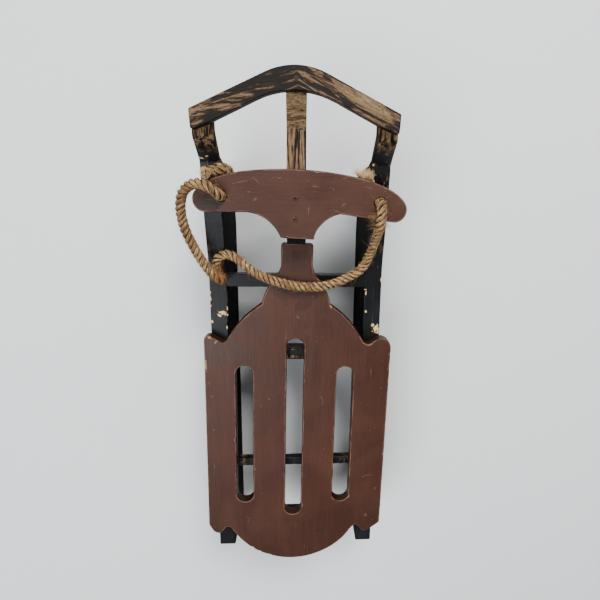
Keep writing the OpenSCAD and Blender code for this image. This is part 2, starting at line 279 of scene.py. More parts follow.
def deck_material():
    z = DECK_TOP
    return brown_paint(
        "deck_paint", DECK_TONES, (620, 42, 620),
        bare=[patch(-94, 286.5, z, 2.6, 1.2, 30), patch(-88, 281, z, 2.4, 0.9, -50),
              patch(-99.5, 254, z, 0.9, 6), patch(38, 322, z, 1.0, 2.4)],
        scratches=[patch(29.5, 212.8, z, 0.6, 3.4, -30), patch(30.3, 207, z, 0.5, 2.6, 12),
                   patch(84.7, 245.2, z, 0.6, 4), patch(-11.2, 287, z, 0.7, 3.4, 8),
                   patch(86, 113.5, z, 5.5, 0.5), patch(-93.6, 176, z, 1.1, 0.9),
                   patch(-94.3, 217, z, 1.2, 1), patch(1.9, 309.7, z, 1.6, 1.6),
                   patch(45, 222, z, 0.5, 1.6), patch(-40, 205, z, 0.5, 2.5, 20),
                   patch(-56, 58, z, 1.7, 0.6), patch(-1, 45, z, 1.6, 0.6),
                   patch(85.3, 58.6, z, 1.7, 1.7), patch(10, 16, z, 1.3, 0.6, 30),
                   patch(95, 95, z, 0.7, 2.4, 15), patch(-95, 130, z, 0.5, 3)],
        # Dark patches: stains, but the last one, at the neck under the steering bar, is the bar's painted
        # shade
        dark=[(patch(28.3, 38.8, z, 6, 4), 0.25), (patch(-60, 240, z, 14, 30), 0.12),
              (patch(60, 100, z, 12, 40), 0.12), (patch(3, 352, z, 22, 34), 0.35)])


def bar_material():
    z = BAR_TOP
    return brown_paint(
        "bar_paint", BAR_TONES, (42, 620, 620),
        bare=[patch(24, 398.5, z, 3, 0.6)],
        scratches=[patch(-38, 452, z, 4.2, 0.55, 40), patch(-53.2, 450, z, 6.5, 0.5, -12),
                   patch(-39.4, 434.5, z, 1.9, 1.1, -30), patch(46, 430.3, z, 2.6, 1.2, -30),
                   patch(-16.5, 454.3, z, 2.2, 0.7), patch(46.4, 455.5, z, 2.0, 0.6, -10),
                   patch(20, 447, z, 3.4, 0.5, 4), patch(12, 425, z, 0.5, 6, 5),
                   patch(40, 424, z, 3.2, 0.5, 20), patch(-45, 441, z, 4.5, 0.4, 6),
                   patch(88, 438, z, 4, 0.4, -20), patch(70, 447, z, 3, 0.4, 10)],
        # The first dark patch is the painted shadow of the rope loop on the bar's left end; the second is a
        # stain
        dark=[(patch(-90, 430, z, 15, 9), 0.7), (patch(12, 436, z, 4, 4), 0.2)])


# Blue-black paint of the runners and crossbars, chipped through to pale wood

RUNNER_TONES = srgb(6, 7, 8), srgb(19, 21, 25)
# The crossbars' black is darker than the runners' same paint: painted shade under the deck
CROSSBAR_SHADED_TONES = srgb(5, 5, 6), srgb(11, 11, 13)
DEEP_BLACK_AND_SHADE = srgb(8, 7, 8)
CHIP_PALE = srgb(246, 214, 164)
CHIP_TAN = srgb(132, 100, 68)
CHIP_HALO = srgb(78, 52, 30)
SCRAPE = srgb(104, 98, 90)
RUBBED_SOLE = srgb(96, 76, 54)
PAINT_DUST = srgb(84, 80, 75)
EDGE_WEAR = 0.3                 # how strongly the wood shows along the rounded edges


def black_paint(name, tones, grain, chips, stripped):
    """Satin black paint, dull on the runners' inner sides and darkened there with painted shade, and
    rubbed off along their soles. tones is its dark and its light colour. chips lists bare patches;
    stripped(s) gives a mask of where the paint is gone."""
    s = Surface(name)
    clouds = s.noise((22, 22, 22), detail=4.0, warp=0.4)
    streaks = s.noise(grain, detail=3.0, rough=0.6)
    colour = s.mix(s.step(clouds, 0.35, 0.72), tones[0], tones[1])
    colour = s.mix(s.math("MULTIPLY", s.step(streaks, 0.5, 0.25), 0.5), colour, DEEP_BLACK_AND_SHADE)
    # Painted shade: the inner sides, facing the middle, are darkened to deep black
    side = s.step(s.math("MULTIPLY", s.facing()["X"], s.xyz()["X"]), -0.02, -0.05)
    colour = s.mix(side, colour, DEEP_BLACK_AND_SHADE)
    scrapes = s.step(s.noise((900, 9, 900), detail=2.0, move=(5, 5, 5)), 0.66, 0.72)
    where = s.step(s.noise((30, 12, 30), detail=2.0, move=(9, 4, 3)), 0.50, 0.60)
    colour = s.mix(s.math("MULTIPLY", s.math("MULTIPLY", scrapes, where), 0.35), colour, SCRAPE)
    low = s.math("ADD", s.xyz()["Z"], s.math("MULTIPLY", s.noise((60, 60, 60), detail=4.0), 0.008))
    colour = s.mix(s.math("MULTIPLY", s.step(low, 0.0058, 0.0046), 0.75), colour, RUBBED_SOLE)
    dust = s.step(s.noise((360, 360, 360), detail=2.0), 0.68, 0.80)
    colour = s.mix(s.math("MULTIPLY", dust, 0.30), colour, PAINT_DUST)

    bare_wood = s.mix(s.noise(tuple(g * 1.4 for g in grain), detail=2.0), CHIP_TAN, CHIP_PALE)
    patchy = s.step(s.noise((120, 60, 120), detail=3.0, move=(4, 1, 1)), 0.60, 0.68)
    edge = s.math("MULTIPLY", s.rim(), patchy)
    colour = s.mix(s.math("MULTIPLY", edge, EDGE_WEAR), colour, CHIP_TAN)
    ragged = (0.85, (480, 380, 480))
    bare = s.any_of([s.spot(c, r, *ragged, t) for c, r, t in chips])
    halo = s.any_of([s.spot(c, tuple(x * 1.22 for x in r), *ragged, t) for c, r, t in chips])
    colour = s.mix(s.math("MULTIPLY", halo, 0.8), colour, CHIP_HALO)
    colour = s.mix(bare, colour, bare_wood)
    mask = stripped(s)
    colour = s.mix(mask, colour, burnt_wood(s, s.place, (210, 20, 210), 0.3, dark=0.03))
    gone = s.math("MAXIMUM", bare, mask)

    rough = s.math("MAXIMUM", s.step(gone, 0.0, 1.0, 0.40, 0.74), s.step(side, 0.0, 1.0, 0.0, 0.9))
    height = s.math("SUBTRACT", s.math("MULTIPLY", streaks, 0.5), s.math("MULTIPLY", gone, 1.1))
    normal = s.bump(height, 0.00035)
    normal = s.bump(s.noise((800, 800, 800), detail=2.0), 0.00005, below=normal)
    sheen = s.math("MULTIPLY", s.step(side, 0.0, 1.0, 0.16, 0.05), s.step(gone, 0.0, 1.0, 1.0, 0.4))
    return s.finish(colour, rough, normal, Specular_IOR_Level=sheen)


BURNT = [(0.33, srgb(9, 9, 10)), (0.42, srgb(17, 14, 12)), (0.455, srgb(44, 32, 24)),
         (0.49, srgb(82, 62, 44)), (0.54, srgb(124, 99, 71)), (0.59, srgb(92, 70, 49)),
         (0.65, srgb(150, 125, 94)), (0.73, srgb(84, 63, 45))]


def burnt_wood(s, vector, grain, warp, dark=0.0, local=None):
    """Softwood whose black paint is worn into long streaks: black, brown and tan along the grain.
    dark shifts it all toward black, and so does local, where it is below 0."""
    broad = s.noise(grain, detail=5.0, rough=0.62, warp=warp, move=(4.3, 8.1, 1.7), vector=vector)
    fine = s.noise(tuple(g * 4.5 for g in grain), detail=3.0, rough=0.7, warp=warp * 0.5,
                   move=(1.1, 5.3, 2.9), vector=vector)
    value = s.math("ADD", broad, s.math("MULTIPLY", s.math("SUBTRACT", fine, 0.5), 0.42))
    value = s.math("SUBTRACT", value, dark)
    if local is not None:
        value = s.math("ADD", value, local)
    wood = s.ramp(value, BURNT)
    line = s.math("ABSOLUTE", s.math("SUBTRACT", s.noise(
        tuple(g * 1.7 for g in grain), detail=3.0, warp=warp * 1.4, move=(7, 3, 5), vector=vector), 0.5))
    return s.mix(s.math("MULTIPLY", s.step(line, 0.016, 0.004), 0.8), wood, srgb(20, 15, 13))


def runner_material(name, chips, stripped):
    return black_paint(name, RUNNER_TONES, (520, 46, 520), chips, stripped)


BORDER = 16 * MM                # how far the border of worn wood wanders


def uneven(s, direction):
    """The place along X, Y or Z in metres, shifted by up to BORDER, for the edge of a mask."""
    return s.math("ADD", s.xyz()[direction],
                  s.math("MULTIPLY", s.noise((260, 40, 260), detail=3.0), BORDER))


def left_tongue(s):
    """Worn on top of the tongue from just ahead of its foot."""
    high = s.step(uneven(s, "Z"), 0.112, 0.120)
    return s.math("MULTIPLY", s.step(uneven(s, "Y"), 0.2080, 0.2200), high)


def right_tongue(s):
    """Worn on top of the tongue, black at its foot, and streaky again behind it up to the bar."""
    y = uneven(s, "Y")
    fore = s.math("MULTIPLY", s.step(y, 0.2100, 0.2240), s.step(uneven(s, "Z"), 0.112, 0.120))
    aft = s.math("MULTIPLY", s.step(y, 0.1960, 0.1900), s.step(y, 0.1620, 0.1700))
    aft = s.math("MULTIPLY", aft, s.step(uneven(s, "Z"), 0.088, 0.094))
    thin = s.step(s.noise((560, 22, 560), detail=3.0, rough=0.6, move=(7, 3, 9)), 0.50, 0.60)
    return s.math("MAXIMUM", fore, s.math("MULTIPLY", aft, thin))


def left_runner_material():
    z = RUNNER_TOP
    return runner_material("left_runner_paint", [
        patch(-82, 311, z, 3.6, 2.2, 15), patch(-85, 308.5, z, 1.3, 2.4, -40),
        patch(-94, 301, z, 2.2, 1.4), patch(-94, 327, z + 1, 0.9, 2.6), patch(-94, 334, z + 1, 0.8, 2.4),
        patch(-94, 319, z, 0.7, 1.4), patch(-76, 316, z, 0.6, 2.0), patch(-76, 309, z, 0.7, 1.6),
        patch(-77, 294, z, 0.5, 1.8),
        patch(-92, 472.5, 114, 2.2, 0.8, 20), patch(-86, 474, 116, 1.4, 0.7)], left_tongue)


def right_runner_material():
    z = RUNNER_TOP
    return runner_material("right_runner_paint", [
        patch(90, 292.5, z, 3.0, 4.2, 25), patch(87, 297, z, 2.0, 1.6), patch(92.5, 288.5, z, 1.4, 2.0),
        patch(76.5, 338, z, 1.6, 0.8), patch(77.5, 334, z, 0.6, 2.4), patch(78, 313, z, 0.8, 1.6),
        patch(77, 469.9, 112, 1.2, 1.2), patch(94, 350, z, 0.6, 3)], right_tongue)


def crossbar_material():
    def worn(s):
        """A pale worn line along the second crossbar's tail edge and brown patches on the third."""
        p = s.xyz()
        line = s.math("MULTIPLY", s.step(p["Y"], -0.0172, -0.0166), s.step(p["Y"], -0.0128, -0.0138))
        line = s.math("MULTIPLY", line, s.step(s.noise((40, 300, 300), detail=3.0), 0.42, 0.52))
        second = s.math("MULTIPLY", s.step(p["Y"], -0.020, -0.019), s.step(p["Y"], -0.002, -0.004))
        thin = s.step(s.noise((14, 520, 520), detail=2.0, move=(2, 2, 2)), 0.56, 0.63)
        line = s.math("MAXIMUM", line, s.math("MULTIPLY", second, s.math("MULTIPLY", thin, 0.7)))
        third = s.math("MULTIPLY", s.step(p["Y"], -0.155, -0.153), s.step(p["Y"], -0.142, -0.144))
        ends = s.step(s.math("ABSOLUTE", s.math("ADD", p["X"], 0.001)), 0.050, 0.056)
        flakes = s.step(s.noise((190, 190, 190), detail=3.0, rough=0.6), 0.47, 0.53, 0.0, 0.55)
        return s.math("MAXIMUM", line, s.math("MULTIPLY", third, s.math("MULTIPLY", ends, flakes)))

    return black_paint("crossbar_paint", CROSSBAR_SHADED_TONES, (46, 520, 520),
                       [patch(60, 50, RUNNER_TOP, 1, 1)], worn)


# Bow and spine: the black paint is worn into streaks


def bow_material():
    """The grain runs along the right arm and flatter than the left one. The left arm is mostly dark
    but for its end and lower edge, the right arm mostly bare but for its tip."""
    s = Surface("bow_worn_wood")
    p = s.xyz()
    out = s.math("ABSOLUTE", s.math("ADD", p["X"], 0.002))
    across = s.math("ADD", p["Y"], s.math("MULTIPLY", out, 0.46))
    slope = s.step(p["X"], -0.012, 0.008, 0.24, 0.46)
    grain_line = s.math("ADD", p["Y"], s.math("MULTIPLY", out, slope))
    arm = s.node("ShaderNodeCombineXYZ", {"X": p["X"], "Y": grain_line, "Z": p["Z"]}).outputs[0]
    left_dark = s.math("MULTIPLY", s.step(p["X"], -0.004, -0.020), s.step(across, 0.253, 0.258, 0.0, -0.06))
    left_end = s.step(p["X"], -0.074, -0.090, 0.0, 0.07)
    right_end = s.step(p["X"], 0.030, 0.065, 0.0, 0.04)
    right_tip = s.step(s.math("ADD", p["X"], s.math("MULTIPLY", across, 1.2)), 0.406, 0.416, 0.0, -0.16)
    middle = s.step(out, 0.034, 0.014, 0.0, -0.08)
    local = s.math("ADD", s.math("ADD", left_end, right_end),
                   s.math("ADD", right_tip, s.math("ADD", middle, left_dark)))
    colour = burnt_wood(s, arm, (28, 165, 80), 1.2, dark=0.030, local=local)
    colour = s.mix(0.25, colour, srgb(44, 34, 27))
    # Painted shade on the rounded edges
    edge_shade = s.math("MULTIPLY", s.rim(), s.step(s.noise((80, 80, 80), detail=2.0), 0.35, 0.5))
    colour = s.mix(s.math("MULTIPLY", edge_shade, 0.75), colour, srgb(16, 13, 12))
    # Painted shade: the sides are darkened nearly to black
    side = s.step(s.math("ABSOLUTE", s.facing()["Z"]), 0.35, 0.08)
    colour = s.mix(s.math("MULTIPLY", side, 0.85), colour, srgb(14, 12, 12))
    grooves = s.noise((50, 420, 300), detail=4.0, rough=0.7, vector=arm)
    return s.finish(colour, 0.62, s.bump(grooves, 0.0005), Specular_IOR_Level=0.12)


def spine_material():
    """Wavy cross streaks near the bow, long dark streaks behind them; black painted shadow at the end under
    the bow and under and behind the steering bar, and painted shade on the sides.
    """
    s = Surface("spine_worn_wood")
    p = s.xyz()
    cross = burnt_wood(s, s.place, (26, 150, 90), 1.3, dark=-0.12)
    left_more = s.step(p["X"], 0.004, -0.009, 0.0, 0.04)
    long_part = burnt_wood(s, s.place, (190, 14, 190), 0.4, dark=0.05, local=left_more)
    limit = s.math("ADD", p["Y"], s.math("MULTIPLY", s.noise((240, 60, 60), detail=3.0), 0.020))
    colour = s.mix(s.step(limit, 0.2335, 0.2390), long_part, cross)
    # Painted shadow: the end under the bow is darkened
    high = s.math("ADD", p["Y"], s.math("MULTIPLY", s.noise((90, 90, 90), detail=2.0), 0.012))
    colour = s.mix(s.step(high, 0.2600, 0.2640), colour, srgb(18, 15, 14))
    # Painted shadow of the steering bar, and painted shade on the sides, in near black
    behind = s.step(p["Y"], 0.150, 0.140)
    side = s.step(s.facing()["Z"], 0.35, 0.10)
    colour = s.mix(s.math("MAXIMUM", behind, s.math("MULTIPLY", side, 0.9)), colour, srgb(6, 6, 7))
    height = s.noise((520, 40, 520), detail=3.0)
    return s.finish(colour, 0.62, s.bump(height, 0.0005), Specular_IOR_Level=0.10)


# Steel


def old_steel(name, paint, steel, share):
    """Small heads, partly under paint; share is how much of the metal shows."""
    s = Surface(name)
    cover = s.step(s.noise((500, 500, 500), detail=3.0), 1 - share - 0.06, 1 - share + 0.06)
    rust = s.noise((900, 900, 900), detail=3.0)
    metal = s.mix(s.step(rust, 0.4, 0.65), steel, srgb(64, 44, 34))
    colour = s.mix(cover, paint, metal)
    normal = s.bump(rust, 0.0001)
    return s.finish(colour, s.step(cover, 0.0, 1.0, 0.45, 0.38), normal,
                    Metallic=s.math("MULTIPLY", cover, 0.8))


# Sisal

LAY_UV = "lay"
DEPTH = "from_middle"           # a strand point's distance from the rope's middle, in rope diameters


def sisal_material(name, light, dark, tint, grooved):
    """Twisted fibre. On the grooved rope the UV map runs round a strand in U and along it, in strand
    widths, in V; loose fibres take their pattern from their place."""
    s = Surface(name)
    if grooved:
        lay = s.node("ShaderNodeUVMap", uv_map=LAY_UV).outputs[0]
    else:
        lay = s.stretch((60, 600, 1))
    fibres = s.noise((22, 1.5, 1), detail=4.0, rough=0.7, warp=0.3, vector=lay)
    yarns = s.noise((7, 0.5, 1), detail=2.0, rough=0.5, warp=0.3, move=(3, 1, 0), vector=lay)
    patches = s.noise((70, 70, 70), detail=3.0)
    colour = s.mix(s.step(fibres, 0.40, 0.60), dark, light)
    colour = s.mix(s.math("MULTIPLY", s.step(yarns, 0.53, 0.40), 0.7), colour, dark)
    colour = s.mix(s.math("MULTIPLY", s.step(patches, 0.46, 0.68), 0.5), colour, tint)
    if grooved:
        # Painted shade: the grooves between the strands are darkened
        depth = s.node("ShaderNodeAttribute", attribute_name=DEPTH).outputs["Fac"]
        groove = s.step(s.math("ADD", depth, s.math("MULTIPLY", s.math("SUBTRACT", fibres, 0.5), 0.10)),
                        0.470, 0.390)
        colour = s.mix(s.math("MULTIPLY", groove, 0.92), colour, srgb(30, 19, 11))
    kink = s.spot(at(-81, 352, 100), (11 * MM, 12 * MM, 16 * MM), 0.4, (90, 90, 90))
    colour = s.mix(s.math("MULTIPLY", kink, 0.6), colour, srgb(112, 66, 30))
    # Painted shade: the rope's left loop is darkened
    loop = s.spot(at(-110, 418, 126), (16 * MM, 42 * MM, 26 * MM), 0.4, (60, 60, 60))
    colour = s.mix(s.math("MULTIPLY", loop, 0.35), colour, srgb(82, 56, 36))
    height = s.math("ADD", s.math("MULTIPLY", fibres, 0.8), s.math("MULTIPLY", yarns, 1.3))
    return s.finish(colour, 0.8, s.bump(height, 0.0007), Specular_IOR_Level=0.15)


SISAL = sisal_material("sisal", srgb(188, 152, 108), srgb(62, 43, 27), srgb(114, 82, 53), True)
FIBRE = sisal_material("sisal_fibres", srgb(192, 156, 112), srgb(128, 94, 60), srgb(142, 102, 64), False)
PALE_FIBRE = sisal_material("sisal_cut_fibres", srgb(254, 232, 190), srgb(216, 176, 126),
                            srgb(240, 206, 154), False)

# Rope --------------------------------------------------------------------------------------

# The route of part.scad, point by point, from the left knot to the right knot
ROUTE = [at(*p) for p in (
    (-67, 449, 110.5), (-69, 442, 111), (-71, 438, 115), (-71.5, 437, 121),
    (-71.5, 437, 133.5), (-73.3, 438.6, 139.5), (-79.5, 443.5, 142.5), (-88, 447.5, 141.5),
    (-98, 446.5, 137.5), (-107, 439, 132.5), (-111, 427, 127.5), (-111, 411, 121.5),
    (-107, 395, 116.5), (-99, 377, 112.5), (-90.6, 362.6, 110), (-83.4, 355, 108.5),
    (-79.9, 352, 106.6), (-78.4, 350.8, 102), (-79.9, 352, 97.4), (-83.2, 355.4, 95.5),
    (-85, 364.2, 96), (-81.5, 373.5, 98),
    (-72.5, 377, 98.5), (-61.5, 372, 99), (-46, 360, 102.5), (-28, 352.3, 107),
    (-8, 346.3, 107), (14, 344, 107), (34, 346.3, 107), (53, 352.8, 103),
    (69, 363, 102.5), (76.7, 378, 107), (79.7, 393, 118.5), (81, 404.3, 130.5),
    (81.5, 411.5, 138), (81.5, 424, 142.3), (81.5, 430.6, 139.5), (81.5, 432.7, 133.5),
    (81.5, 432.7, 121), (80, 433.7, 114.5), (75, 435.5, 110.5), (67, 442, 107.5))]

ROPE_D = 10 * MM
LAY = 16.8 * MM                 # length in which a strand turns once round the rope
STRAND_R = 0.220                # of the rope's diameter
STRAND_OUT = 0.283              # from the rope's middle to a strand's middle, of its diameter
STRAND_SIDES = 20
YARN_RIDGES = 4                 # round a strand
YARN_HEIGHT, ROUGH_HEIGHT = 0.06, 0.10      # of the strand's radius
LAY_WOBBLE = 0.55               # radians that the lay runs ahead or behind
RING_STEP = 0.75 * MM
HOLE_RIGHT = at(81.5, 432.7, 133.5)


def curve_through(points, steps=24):
    """Points of the same smooth curve through the route as in the CAD part."""
    found = []
    last = len(points) - 1
    for i in range(last):
        a, b, c, d = points[max(i - 1, 0)], points[i], points[i + 1], points[min(i + 2, last)]
        for k in range(steps):
            t = k / steps
            found.append(0.5 * (2 * b + (c - a) * t + (2 * a - 5 * b + 4 * c - d) * t ** 2
                                + (3 * b - a - 3 * c + d) * t ** 3))
    return found + [points[last].copy()]


def evenly(points, step):
    """The same line with points at equal distances."""
    lengths = [0.0]
    for a, b in zip(points, points[1:]):
        lengths.append(lengths[-1] + (b - a).length)
    count = max(2, round(lengths[-1] / step))
    found, i = [], 0
    for k in range(count + 1):
        want = lengths[-1] * k / count
        while i < len(points) - 2 and lengths[i + 1] < want:
            i += 1
        share = (want - lengths[i]) / max(lengths[i + 1] - lengths[i], 1e-9)
        found.append(points[i].lerp(points[i + 1], min(share, 1.0)))
    return found, lengths[-1]


def frames_along(points):
    """Direction and a sideways vector at each point, turned as little as possible along the line."""
    side = Vector((0, 0, 1))
    found = []
    for i in range(len(points)):
        ahead = (points[min(i + 1, len(points) - 1)] - points[max(i - 1, 0)]).normalized()
        side = (side - ahead * side.dot(ahead)).normalized()
        found.append((ahead, side, ahead.cross(side)))
    return found


def link(mesh, name, material):
    piece = bpy.data.objects.new(name, mesh)
    bpy.context.scene.collection.objects.link(piece)
    mesh.materials.append(material)
    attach(piece, BODY)
    return piece


def rope_mesh(name, points, diameter):
    """Three strands laid round the line, each a tube with an uneven surface. The ends close."""
    line, length = evenly(points, RING_STEP)
    around = frames_along(line)
    bm = bmesh.new()
    lay_map = bm.loops.layers.uv.new(LAY_UV)
    depth = bm.verts.layers.float.new(DEPTH)
    for strand in range(3):
        rings = []
        centres = []
        for i, (p, (_, side, up)) in enumerate(zip(line, around)):
            turn = 2 * math.pi * (i * length / (len(line) - 1) / LAY + strand / 3)
            turn += LAY_WOBBLE * noise.noise(Vector((i * 0.03, 3.0, 0.0)))
            out = side * math.cos(turn) + up * math.sin(turn)
            wobble = noise.noise(Vector((i * 0.11, strand * 9.0, 0.0)))
            centres.append(p + out * diameter * (STRAND_OUT + 0.012 * wobble))
        shape = frames_along(centres)
        for i, (c, (_, side, up)) in enumerate(zip(centres, shape)):
            ring = []
            for k in range(STRAND_SIDES):
                a = 2 * math.pi * k / STRAND_SIDES
                yarn = YARN_HEIGHT * math.cos(YARN_RIDGES * a - i * 0.13)
                on_strand = Vector((math.cos(a) * 2, math.sin(a) * 2 + strand * 7, i * 0.35))
                rough = ROUGH_HEIGHT * noise.noise(on_strand)
                r = diameter * STRAND_R * (1 + yarn + rough)
                vert = bm.verts.new(c + (side * math.cos(a) + up * math.sin(a)) * r)
                vert[depth] = (vert.co - line[i]).length / diameter
                ring.append(vert)
            rings.append(ring)
        for i in range(len(rings) - 1):
            for k in range(STRAND_SIDES):
                n = (k + 1) % STRAND_SIDES
                face = bm.faces.new((rings[i][k], rings[i][n], rings[i + 1][n], rings[i + 1][k]))
                face.smooth = True
                corners = ((k, i), (k + 1, i), (k + 1, i + 1), (k, i + 1))
                width = diameter * STRAND_R * 2
                for loop, (u, v) in zip(face.loops, corners):
                    loop[lay_map].uv = (u / STRAND_SIDES, v * RING_STEP / width + strand * 5)
        bm.faces.new(reversed(rings[0]))
        bm.faces.new(rings[-1])
    mesh = bpy.data.meshes.new(name)
    bm.to_mesh(mesh)
    bm.free()
    return mesh, line, length


def hair(bm, root, ahead, length, radius, bend, chance):
    """One tapered fibre from root along ahead, bending evenly by the vector bend."""
    sides, parts = 3, 6
    third_turn = 2.094
    rings = []
    point = root.copy()
    heading = ahead.normalized()
    for i in range(parts + 1):
        a, side, up = frames_along([point, point + heading])[0]
        r = radius * (1 - 0.8 * i / parts)
        corners = [side * math.cos(k * third_turn) + up * math.sin(k * third_turn) for k in range(sides)]
        rings.append([bm.verts.new(point + corner * r) for corner in corners])
        shake = Vector((chance.gauss(0, 1), chance.gauss(0, 1), chance.gauss(0, 1))) * 0.09
        heading = (heading + bend / parts + shake).normalized()
        point = point + heading * (length / parts)
    for a, b in zip(rings, rings[1:]):
        for k in range(sides):
            bm.faces.new((a[k], a[(k + 1) % sides], b[(k + 1) % sides], b[k])).smooth = True
    bm.faces.new(reversed(rings[0]))
    bm.faces.new(rings[-1])


def hairs_mesh(name, grow):
    """A mesh of loose fibres; grow(bm) adds them."""
    bm = bmesh.new()
    grow(bm)
    mesh = bpy.data.meshes.new(name)
    bm.to_mesh(mesh)
    bm.free()
    return mesh


def fuzz(bm, line, diameter, count, seed, long_share=0.08, near=None):
    """Stray fibres all along a rope, or only near some places: near is a list of (place, reach)."""
    chance = random.Random(seed)
    around = frames_along(line)
    placed = 0
    while placed < count:
        i = chance.randrange(2, len(line) - 2)
        if near and not any((line[i] - p).length < reach for p, reach in near):
            continue
        ahead, side, up = around[i]
        a = chance.uniform(0, 2 * math.pi)
        out = side * math.cos(a) + up * math.sin(a)
        root = line[i] + out * diameter * 0.44
        way = chance.choice((-1, 1))
        lean = out * chance.uniform(0.25, 0.9) + ahead * way * chance.uniform(0.5, 1.4)
        long_one = chance.random() < long_share
        length = chance.uniform(7, 15) * MM if long_one else chance.uniform(1.6, 5) * MM
        radius = chance.uniform(0.08, 0.13) * MM if long_one else chance.uniform(0.05, 0.10) * MM
        hair(bm, root, lean, length, radius, out * chance.uniform(-0.7, 0.5), chance)
        placed += 1


def make_rope():
    curve = curve_through(ROUTE)
    mesh, line, length = rope_mesh("tow_rope_laid", curve, ROPE_D)
    rope = link(mesh, "tow_rope_laid", SISAL)
    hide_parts("tow_rope")
    return rope, line, length


def left_knot_line():
    """Round behind the bar's nose edge, over the runner, back under itself and out to the left."""
    points = [at(*p) for p in (
        (-67, 448.5, 110.5), (-66, 452.5, 107), (-65.5, 457, 106), (-66.5, 461.5, 108.5),
        (-70, 464, 112.5), (-75.5, 464.2, 114.5), (-81, 462, 115), (-85, 457.5, 114.5),
        (-83.5, 452.6, 113.8), (-77, 450.8, 113.2), (-71.5, 452.5, 113.4), (-68.5, 457, 115),
        (-70.5, 461.3, 119), (-76, 460.3, 120.3), (-81.6, 459.2, 120.8), (-85.2, 458.4, 123),
        (-86.6, 458, 126.6))]
    return curve_through(points)


def right_knot_line():
    points = [at(*p) for p in (
        (67, 441.5, 107.5), (63.5, 446, 105.5), (61.5, 451, 103.5), (66, 455.5, 102.5),
        (72, 451, 104.5), (70.5, 445, 110), (67.5, 449.5, 113.5), (71, 454.5, 113.5))]
    return curve_through(points)


KNOT_D = 8.6 * MM
END_D = 1.08 * KNOT_D           # the cut end has loosened a little
KNOT_SHARE = 0.74               # of the left knot's line; the rest is its end


def make_knots():
    """The two knots, each with its rope's end as a piece of its own."""
    pieces = []
    line = left_knot_line()
    split = int(len(line) * KNOT_SHARE)
    mesh, _, _ = rope_mesh("left_knot_laid", line[:split + 3], KNOT_D)
    knot = link(mesh, "left_knot_laid", SISAL)
    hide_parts("left_knot")
    mesh, end_line, _ = rope_mesh("left_end_laid", line[split:], END_D)
    end = link(mesh, "left_end_laid", SISAL)
    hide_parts("left_rope_end")
    pieces += [knot, end]

    mesh, _, _ = rope_mesh("right_knot_laid", right_knot_line(), KNOT_D)
    knot = link(mesh, "right_knot_laid", SISAL)
    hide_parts("right_knot")
    pieces.append(knot)
    return pieces, end_line


def left_brush(bm, end_line):
    """The cut end's fibres, spread a little from its face."""
    chance = random.Random(4)
    tip = end_line[-1]
    ahead, side, up = frames_along(end_line)[-1]
    spread = KNOT_D * 0.52
    for _ in range(900):
        r = math.sqrt(chance.random()) * spread
        a = chance.uniform(0, 2 * math.pi)
        out = side * math.cos(a) + up * math.sin(a)
        root = tip + out * r - ahead * 1.6 * MM
        lean = ahead + out * (0.05 + 0.55 * (r / spread) ** 2) + Vector((0, 0, 0.25))
        hair(bm, root, lean, chance.uniform(2.6, 3.8) * MM, chance.uniform(0.17, 0.25) * MM,
             out * chance.uniform(-0.3, 0.5), chance)


def right_tuft(bm):
    """Unlaid fibres in wisps that fan out from under the bar toward the nose and inboard."""
    chance = random.Random(11)
    wisps, fibres_each = 30, 24
    for w in range(wisps):
        share = (w + chance.uniform(-0.6, 0.6)) / (wisps - 1)
        base = at(66 + 12.5 * share, 454.8 - 4.2 * share, 112.6 + chance.gauss(0, 1.6))
        lean = Vector((-0.52 + 0.26 * share + chance.gauss(0, 0.20), 0.85, 0.36 + chance.gauss(0, 0.22)))
        bend = Vector((chance.uniform(-0.8, 0.7), 0, chance.uniform(-0.6, 0.3)))
        reach = chance.uniform(10.0, 18.0) * MM
        for _ in range(fibres_each):
            root = base + Vector([chance.gauss(0, 0.42) * MM for _ in range(3)])
            way = lean + Vector([chance.gauss(0, 0.05) for _ in range(3)])
            hair(bm, root, way, reach * chance.uniform(0.72, 1.05), chance.uniform(0.15, 0.23) * MM,
                 bend, chance)


def mouth_hairs(bm):
    """Fibres pulled loose where the rope goes down the right hole, most of them to its left."""
    chance = random.Random(9)
    for place, way, count in ((at(78.5, 420, 138), (-1, -0.30, -0.10), 40),
                              (at(78.5, 411, 136), (-1, -0.10, -0.15), 16),
                              (at(84.5, 414, 138), (0.8, -0.70, -0.05), 18)):
        for _ in range(count):
            root = place + Vector([chance.gauss(0, 1.3) * MM for _ in range(3)])
            lean = Vector(way) + Vector([chance.gauss(0, 0.20) for _ in range(3)])
            bend = Vector((0, chance.uniform(-0.5, 0.3), chance.uniform(-0.1, 0.2)))
            hair(bm, root, lean, chance.uniform(5, 12) * MM, chance.uniform(0.10, 0.18) * MM, bend, chance)


